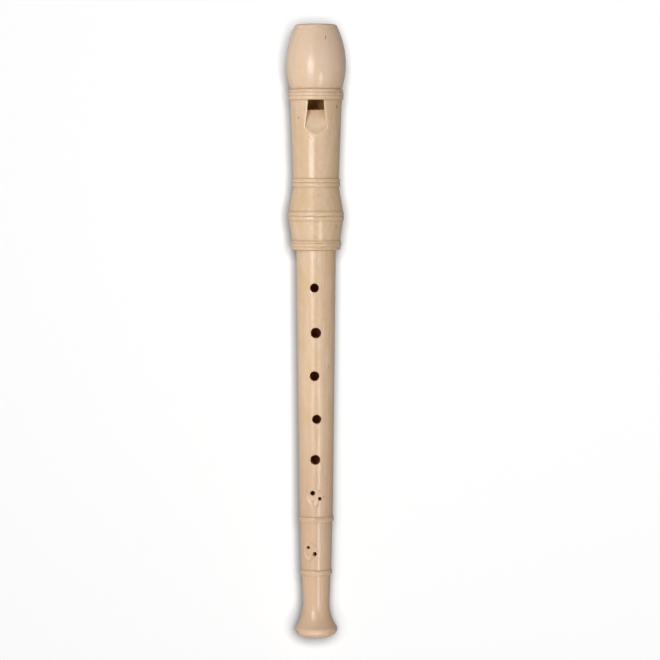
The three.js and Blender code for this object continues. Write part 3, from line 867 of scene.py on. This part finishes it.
class Finish:
    """The nodes of a material or a world under construction."""

    def __init__(self, owner):
        self.owner = owner
        owner.use_nodes = True
        self.tree = owner.node_tree
        self.tree.nodes.clear()

    def add(self, kind, settings=None, inputs=None, output=0):
        """A node of that kind: its settings are made first, then its sockets are set or linked."""
        node = self.tree.nodes.new(kind)
        for name, setting in (settings or {}).items():
            if name == "stops":
                self.set_stops(node.color_ramp, setting)
            else:
                setattr(node, name, setting)
        for name, value in (inputs or {}).items():
            if isinstance(value, Value):
                self.tree.links.new(value.socket, node.inputs[name])
            else:
                node.inputs[name].default_value = value
        return Value(self, node.outputs[output]) if node.outputs else node

    def set_stops(self, ramp, stops):
        while len(ramp.elements) < len(stops):
            ramp.elements.new(1)
        for element, (position, level) in zip(ramp.elements, stops):
            element.position = position
            element.color = (level, level, level, 1)

    def math(self, operation, *values, clamp=False):
        settings = {"operation": operation, "use_clamp": clamp}
        return self.add("ShaderNodeMath", settings, dict(enumerate(values)))

    def ramp(self, value, *stops):
        """The value sent through stops of (value, level)."""
        return self.add("ShaderNodeValToRGB", {"stops": stops}, {0: value})

    def mix(self, amount, first, second):
        """A colour between two colours."""
        settings = {"data_type": "RGBA"}
        inputs = {0: amount, 6: opaque(first), 7: opaque(second)}
        return self.add("ShaderNodeMix", settings, inputs, output=2)

    def tagged(self, name):
        return self.add("ShaderNodeAttribute", {"attribute_name": name}, output=2)

    def place(self):
        """Places across, along and above the instrument's axis, in millimetres."""
        point = self.add("ShaderNodeTexCoord", output=3)
        offset = self.vector("SUBTRACT", point, ORIGIN)
        return [self.vector("DOT_PRODUCT", offset, axis / MM, output=1) for axis in (ACROSS, ALONG, UP)]

    def vector(self, operation, first, second, output=0):
        return self.add("ShaderNodeVectorMath", {"operation": operation}, {0: first, 1: second}, output)

    def point(self, x, y, z):
        return self.add("ShaderNodeCombineXYZ", {}, {0: x, 1: y, 2: z})

    def noise(self, x, y, z, detail=2, roughness=0.5):
        """Noise over places that are already scaled to its grain."""
        inputs = {"Vector": self.point(x, y, z), "Scale": 1, "Detail": detail, "Roughness": roughness}
        return self.add("ShaderNodeTexNoise", {}, inputs)

    def bump(self, height, distance, strength, under=None):
        """A bump, over another one if that is given."""
        inputs = {"Height": height, "Distance": distance, "Strength": strength}
        if under:
            inputs["Normal"] = under
        return self.add("ShaderNodeBump", {}, inputs)

    def surface(self, **inputs):
        """Closes a material with its shader, from the names of the shader's sockets with _ for a space."""
        sockets = {name.replace("_", " "): value for name, value in inputs.items()}
        return self.close(self.add("ShaderNodeBsdfPrincipled", {}, sockets))

    def choose(self, amount, first, second):
        """A shader between two shaders."""
        return self.add("ShaderNodeMixShader", {}, {0: amount, 1: first, 2: second})

    def close(self, shader, kind="Material"):
        """Links the last shader, and returns the finished material or world."""
        self.add(f"ShaderNodeOutput{kind}", {}, {"Surface": shader})
        return self.owner


def opaque(value):
    return value if isinstance(value, Value) else (*value, 1)


Fleck = namedtuple("Fleck", "across along width length depth")
Blank = namedtuple("Blank", "offset far_tone far_from far_over bore flecks")

# The two blanks of maple, in millimetres: where each was cut, the tone at its far end and where that
# sets in along the axis, the tone of its bore, and the dark flecks in its upper side
BLANKS = {
    "head": Blank(0, "maple_rosy", 72.0, 25.0, "head_bore", [
        Fleck(5.1, 111.5, 0.35, 1.5, 0.8),
        Fleck(-9.0, 69.6, 0.35, 0.9, 0.9),
        Fleck(11.0, 75.4, 0.35, 1.3, 0.9),
        Fleck(10.6, 12.7, 0.9, 1.8, 0.25),
        Fleck(-3.4, 59.7, 0.6, 0.5, 0.4),
        Fleck(-2.4, 58.8, 0.6, 0.5, 0.4),
    ]),
    # The body's far tone is partly the wood's and partly painted shade towards the foot
    "body": Blank(37.0, "maple_dark_and_shade", -75.0, -65.0, "body_bore", [
        Fleck(6.8, -61.3, 0.4, 0.8, 0.5),
        # The next five are dark patches in the two dishes, below their middles
        Fleck(4.1, -130.2, 0.5, 0.5, 0.6),
        Fleck(1.3, -134.4, 0.6, 1.4, 0.35),
        Fleck(-1.5, -132.6, 2.2, 0.7, 0.16),
        Fleck(-3.5, -164.1, 0.5, 1.8, 0.3),
        Fleck(-4.4, -161.2, 1.5, 0.9, 0.16),
        Fleck(-9.8, -202.5, 0.8, 0.35, 0.9),
    ]),
}


def maple(look, joint):
    """Lacquered maple with the figure of one blank of wood."""
    finish = Finish(bpy.data.materials.new(f"maple_{joint}"))
    blank = BLANKS[joint]
    across, along, up = finish.place()
    x, y, z = across + blank.offset, along + blank.offset * 3, up

    # Growth rings round a pith under the instrument, fibres, silk, broad tones and pores
    from_pith = ((across + 7.0) ** 2 + (up + 60.0) ** 2) ** 0.5
    wander = finish.noise(x * 0.05, y * 0.012, z * 0.05, detail=2)
    rings = finish.noise(from_pith * 0.9 + wander * 3.0, y * 0.004, 3.0, detail=3, roughness=0.6)
    ring_line = finish.ramp(rings, (0.46, 0), (0.56, 1), (0.6, 0.15), (0.68, 0.8), (0.71, 0))
    fibre = finish.noise(x * 5.5, y * 0.16, z * 5.5, detail=3, roughness=0.6)
    silk = finish.noise(x * 0.9, y * 0.35, z * 0.9, detail=3, roughness=0.55)
    blotch = finish.noise(x * 0.16, y * 0.07, z * 0.16, detail=3, roughness=0.55)
    second = finish.noise(x * 0.13 + 40.0, y * 0.06, z * 0.13, detail=3, roughness=0.55)
    pores = finish.noise(x * 3.6, y * 0.55, z * 3.6 + 9.0, detail=1)
    pore = finish.ramp(pores, (0.69, 0), (0.76, 1))

    # The tones, then the figure over them
    tone = finish.mix(finish.ramp(blotch, (0.4, 0), (0.66, 1)), look.maple, look.maple_rosy)
    tone = finish.mix(finish.ramp(second, (0.42, 0), (0.68, 1)), tone, look.maple_honey)
    # The far tone; on the body it is partly painted shade towards the foot
    far = along - blank.far_from + (blotch - 0.5) * 30.0
    part = finish.math("DIVIDE", far, blank.far_over, clamp=True)
    tone = finish.mix(part, tone, getattr(look, blank.far_tone))
    figure = ring_line * 0.12 + (fibre - 0.5) * 0.46 + (silk - 0.5) * 0.3 + pore * 0.14
    figure = figure * look.grain + 0.04 - part * 0.05
    tone = finish.mix(finish.math("MAXIMUM", figure, 0), tone, look.maple_line)

    marks = 0
    for fleck in blank.flecks:
        off_x, off_y = (across - fleck.across) / fleck.width, (along - fleck.along) / fleck.length
        distance = finish.math("SQRT", off_x * off_x + off_y * off_y)
        marks = finish.math("MAXIMUM", marks, finish.ramp(distance, (0.2, fleck.depth), (1, 0)))
    upper = finish.math("GREATER_THAN", up, 0)
    tone = finish.mix(marks * upper, tone, look.fleck)

    # End grain, painted shade in the turned lines, painted highlights along the edges, and the oiled inside
    end, groove, inside, scraped, worn = map(finish.tagged, ["end", "groove", "inside", "scraped", "worn"])
    tone = finish.mix(end * 0.55, tone, look.maple_end)
    # Painted shade in the turned lines
    tone = finish.mix(groove * 0.5, tone, look.groove_painted_shade)
    # Painted highlights along the edges
    tone = finish.mix(worn * 0.6, tone, look.maple_painted_highlight)
    tone = finish.mix(inside, tone, getattr(look, blank.bore))

    roughness = look.gloss + (silk - 0.5) * 0.1 + inside * 0.35 + end * 0.15 + scraped * 0.1
    waves = finish.noise(x * 0.4, y * 0.2, z * 0.4, detail=3)
    bump = finish.bump(waves, 0.16 * MM, 0.5)
    bump = finish.bump(fibre + pore * 0.6, 0.012 * MM, 0.5, bump)
    return finish.surface(Base_Color=tone, Roughness=roughness, Normal=bump)


def cedar(look):
    """Bare cedar with close dark rings."""
    finish = Finish(bpy.data.materials.new("cedar"))
    x, y, z = finish.place()
    wander = finish.noise(x * 0.1, y * 0.03, z * 0.1)
    from_pith = ((x + 20.0) ** 2 + (z - 45.0) ** 2) ** 0.5
    rings = finish.noise(from_pith * 1.6 + wander * 3.0, y * 0.01, 1.0, detail=2)
    fibre = finish.noise(x * 6.0, y * 0.3, z * 6.0, detail=3, roughness=0.6)
    amount = finish.ramp(rings, (0.42, 0.05), (0.62, 0.85), (0.68, 0.15))
    tone = finish.mix(amount * 0.7 + (fibre - 0.5) * 0.4, look.cedar, look.cedar_line)
    bump = finish.bump(fibre + amount * 0.4, 0.03 * MM, 0.6)
    return finish.surface(Base_Color=tone, Roughness=0.62 + fibre * 0.12, Normal=bump)


def cork(look):
    """Cork with its pressed cells and dark flecks."""
    finish = Finish(bpy.data.materials.new("cork"))
    x, y, z = finish.place()
    inputs = {"Vector": finish.point(x, y, z), "Scale": 1.6}
    cells = finish.add("ShaderNodeTexVoronoi", {"feature": "F1"}, inputs)
    speck = finish.noise(x * 1.2, y * 0.7, z * 1.2, detail=4, roughness=0.7)
    fine = finish.noise(x * 5, y * 5, z * 5, detail=2)
    amount = finish.ramp(speck, (0.52, 0), (0.66, 0.9)) + (fine - 0.5) * 0.5 + (cells - 0.4) * 0.25
    tone = finish.mix(finish.math("MAXIMUM", amount, 0), look.cork, look.cork_fleck)
    bump = finish.bump(fine - finish.ramp(speck, (0.55, 0), (0.62, 1)) * 0.8, 0.12 * MM, 0.6)
    return finish.surface(Base_Color=tone, Roughness=0.85, Normal=bump)


# Pieces


class RECORDER_OT_head(bpy.types.Operator):
    """Turn the head joint, cut its beak, windway, window and ramp, and finish it in maple"""

    bl_idname = "recorder.head"
    bl_label = "Head Joint"

    def execute(self, context):
        head = context.scene.recorder_head
        outline = head_outline(head)
        tools = [socket_and_bore(head), windway(head), window_and_ramp(head, outline)]
        mesh = carve(head_solid(head, outline), tools)
        tag_head(mesh, head, outline)
        finish = maple(context.scene.recorder_finish, "head")
        set_down(mesh, "head", "head_joint", "head", finish)
        return {"FINISHED"}


class RECORDER_OT_block(bpy.types.Operator):
    """Make the cedar block that fills the head's bore above the window"""

    bl_idname = "recorder.block"
    bl_label = "Windway Block"

    def execute(self, context):
        head = context.scene.recorder_head
        mesh = carve(block_solid(head), [head_solid(head, head_outline(head))], "INTERSECT")
        set_down(mesh, "block", "windway_block", "block", cedar(context.scene.recorder_finish))
        return {"FINISHED"}


class RECORDER_OT_body(bpy.types.Operator):
    """Turn the body joint, drill its holes and finish it in maple"""

    bl_idname = "recorder.body"
    bl_label = "Body Joint"

    def execute(self, context):
        body = context.scene.recorder_body
        outline = body_outline(body)
        tools = [dish_cutter(body, outline, dish) for dish in DISHES]
        tools += [hole_cutter(body, outline, hole, body.hole_edge) for hole in SINGLE_HOLES]
        tools += [hole_cutter(body, outline, hole, body.small_hole_edge, True) for hole in PAIRED_HOLES]
        mesh = carve(body_solid(body, outline), tools)
        tag_body(mesh, body, outline)
        finish = maple(context.scene.recorder_finish, "body")
        set_down(mesh, "body", "body_joint", "body", finish)
        return {"FINISHED"}


class RECORDER_OT_cork(bpy.types.Operator):
    """Make the cork band in the tenon's groove"""

    bl_idname = "recorder.cork"
    bl_label = "Tenon Cork"

    def execute(self, context):
        mesh = cork_solid(context.scene.recorder_body)
        set_down(mesh, "cork", "tenon_cork", "cork", cork(context.scene.recorder_finish))
        return {"FINISHED"}


Lamp = namedtuple("Lamp", "name place target width length watts mirrored", defaults=[True])

# Places and lengths in metres. The lacquer shows no image of a lamp that isn't mirrored.
TABLE_LAMP = Lamp("sky", (0.1, 0.15, 2), (0, 0, 0), 1, 1, 43)
INSTRUMENT_LAMPS = [
    Lamp("key", (-0.26, 0.11, 0.68), (0, 0.11, 0), 0.24, 0.28, 1.9),
    Lamp("beak", (-0.27, 0.42, 0.68), (0, 0.14, 0), 0.2, 0.2, 0.5, mirrored=False),
    Lamp("key_end", (-0.24, -0.14, 0.68), (0, -0.14, 0), 0.24, 0.2, 0.36),
    Lamp("second", (0.37, -0.3, 1.05), (0, -0.3, 0), 0.16, 0.32, 2.0),
    Lamp("left", (-1.1, 0.05, 0.2), (0, 0, 0), 0.36, 2, 6.7, mirrored=False),
    Lamp("right", (0.75, -0.12, 1), (0, -0.05, 0), 1, 1.6, 3.6),
    Lamp("beyond", (0, 1, 0.5), (0, 0.1, 0), 1.5, 0.5, 2.1),
    Lamp("foot", (0, -0.4, 0.2), (0, -0.16, 0), 0.4, 0.06, 0.64),
    Lamp("over", (0, 0.05, 1.7), (0, 0.05, 0), 1.4, 1.4, 1.1),
]
ROOM_LIGHT = 0.06
FLOOR_HALF = 3.0  # half the floor's width and length in metres


def hang(lamp, receivers):
    """Hangs a soft lamp that faces its target and lights only the receivers."""
    light = bpy.data.lights.new(lamp.name, "AREA")
    light.shape = "RECTANGLE"
    light.size, light.size_y = lamp.width, lamp.length
    light.energy = lamp.watts
    holder = bpy.data.objects.new(lamp.name, light)
    holder.location = lamp.place
    back = (Vector(lamp.place) - Vector(lamp.target)).normalized()
    right = Vector((0, 1, 0)).cross(back).normalized()
    holder.rotation_euler = Matrix((right, back.cross(right), back)).transposed().to_euler()
    holder.light_linking.receiver_collection = receivers
    holder.visible_glossy = lamp.mirrored
    bpy.context.scene.collection.objects.link(holder)


def white_floor():
    """White paper with a painted shadow where the instrument is close over it, and grey to light that
    bounces.
    """
    finish = Finish(bpy.data.materials.new("paper"))
    rays = ("Is Camera Ray", "Is Transmission Ray")
    seen = finish.math("MAXIMUM", *(finish.add("ShaderNodeLightPath", output=ray) for ray in rays))
    lean = Vector((0.3, 0.15, 1)).normalized()
    inputs = {"Distance": 10 * MM, "Normal": finish.point(*lean)}
    open_sky = finish.add("ShaderNodeAmbientOcclusion", {"samples": 16}, inputs, output=1)
    shade = finish.ramp(open_sky, (0.5, 0.5), (1, 0))
    bounce, white, dark = (
        finish.add("ShaderNodeBsdfDiffuse", {}, {"Color": (level, level, level, 1)})
        for level in (0.32, 0.95, 0.02)
    )
    return finish.close(finish.choose(seen, bounce, finish.choose(shade, white, dark)))


def room():
    """A world that lights evenly and is white to the eye."""
    finish = Finish(bpy.data.worlds.new("room"))
    light, sight = (
        finish.add("ShaderNodeBackground", {}, {"Color": (1, 1, 1, 1), "Strength": strength})
        for strength in (ROOM_LIGHT, 1)
    )
    seen = finish.add("ShaderNodeLightPath", output="Is Camera Ray")
    return finish.close(finish.choose(seen, light, sight), "World")


class RECORDER_OT_studio(bpy.types.Operator):
    """Lay the white floor, hang the lamps and set the camera over the instrument"""

    bl_idname = "recorder.studio"
    bl_label = "Studio"

    def execute(self, context):
        scene = context.scene
        studio = scene.recorder_studio
        low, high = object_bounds()

        floor_mesh = bpy.data.meshes.new("floor")
        signs = [(-1, -1), (1, -1), (1, 1), (-1, 1)]
        corners = [(x * FLOOR_HALF, y * FLOOR_HALF, low.z) for x, y in signs]
        floor_mesh.from_pydata(corners, [], [(0, 1, 2, 3)])
        floor_mesh.materials.append(white_floor())
        floor = bpy.data.objects.new("floor", floor_mesh)
        scene.collection.objects.link(floor)
        floor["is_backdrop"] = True

        scene.world = room()
        table = bpy.data.collections.new("table")
        table.objects.link(floor)
        hang(TABLE_LAMP, table)
        instrument = bpy.data.collections.new("instrument")
        for piece in ("head", "block", "body", "cork"):
            instrument.objects.link(bpy.data.objects[piece])
        for lamp in INSTRUMENT_LAMPS:
            hang(lamp, instrument)

        camera = bpy.data.objects.new("camera", bpy.data.cameras.new("camera"))
        scene.collection.objects.link(camera)
        camera.location = (studio.aside, studio.beyond, (low.z + high.z) / 2 + studio.distance)
        camera.rotation_euler.x = -studio.tilt
        camera.data.sensor_fit = "HORIZONTAL"
        camera.data.angle = 2 * math.atan(studio.view_width / 2 / math.hypot(studio.distance, studio.beyond))
        camera.data.clip_start = 0.1
        scene.camera = camera
        scene.view_settings.view_transform = "Standard"
        return {"FINISHED"}


class RECORDER_PT_panel(bpy.types.Panel):
    """The recorder's pieces, sizes and colours in the 3D view's sidebar"""

    bl_label = "Soprano Recorder"
    bl_idname = "RECORDER_PT_panel"
    bl_space_type = "VIEW_3D"
    bl_region_type = "UI"
    bl_category = "Recorder"

    def draw(self, context):
        for operator in OPERATORS:
            self.layout.operator(operator.bl_idname)
        for name, group in GROUPS.items():
            box = self.layout.box()
            box.label(text=group.__doc__)
            for prop in group.__annotations__:
                box.prop(getattr(context.scene, name), prop)


OPERATORS = [RECORDER_OT_head, RECORDER_OT_block, RECORDER_OT_body, RECORDER_OT_cork, RECORDER_OT_studio]
GROUPS = {
    "recorder_head": RecorderHead,
    "recorder_body": RecorderBody,
    "recorder_finish": RecorderFinish,
    "recorder_studio": RecorderStudio,
}
CLASSES = [*GROUPS.values(), *OPERATORS, RECORDER_PT_panel]


def register():
    for kind in CLASSES:
        bpy.utils.register_class(kind)
    for name, group in GROUPS.items():
        setattr(bpy.types.Scene, name, PointerProperty(type=group))


def unregister():
    for name in GROUPS:
        delattr(bpy.types.Scene, name)
    for kind in reversed(CLASSES):
        bpy.utils.unregister_class(kind)


def main():
    register()
    bpy.ops.recorder.head()
    bpy.ops.recorder.block()
    bpy.ops.recorder.body()
    bpy.ops.recorder.cork()
    bpy.ops.recorder.studio()
    boxes = {"cad": CAD_BOX, "visual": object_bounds()}
    {name: [list(corner) for corner in box] for name, box in boxes.items()}


if __name__ == "__main__":
    main()
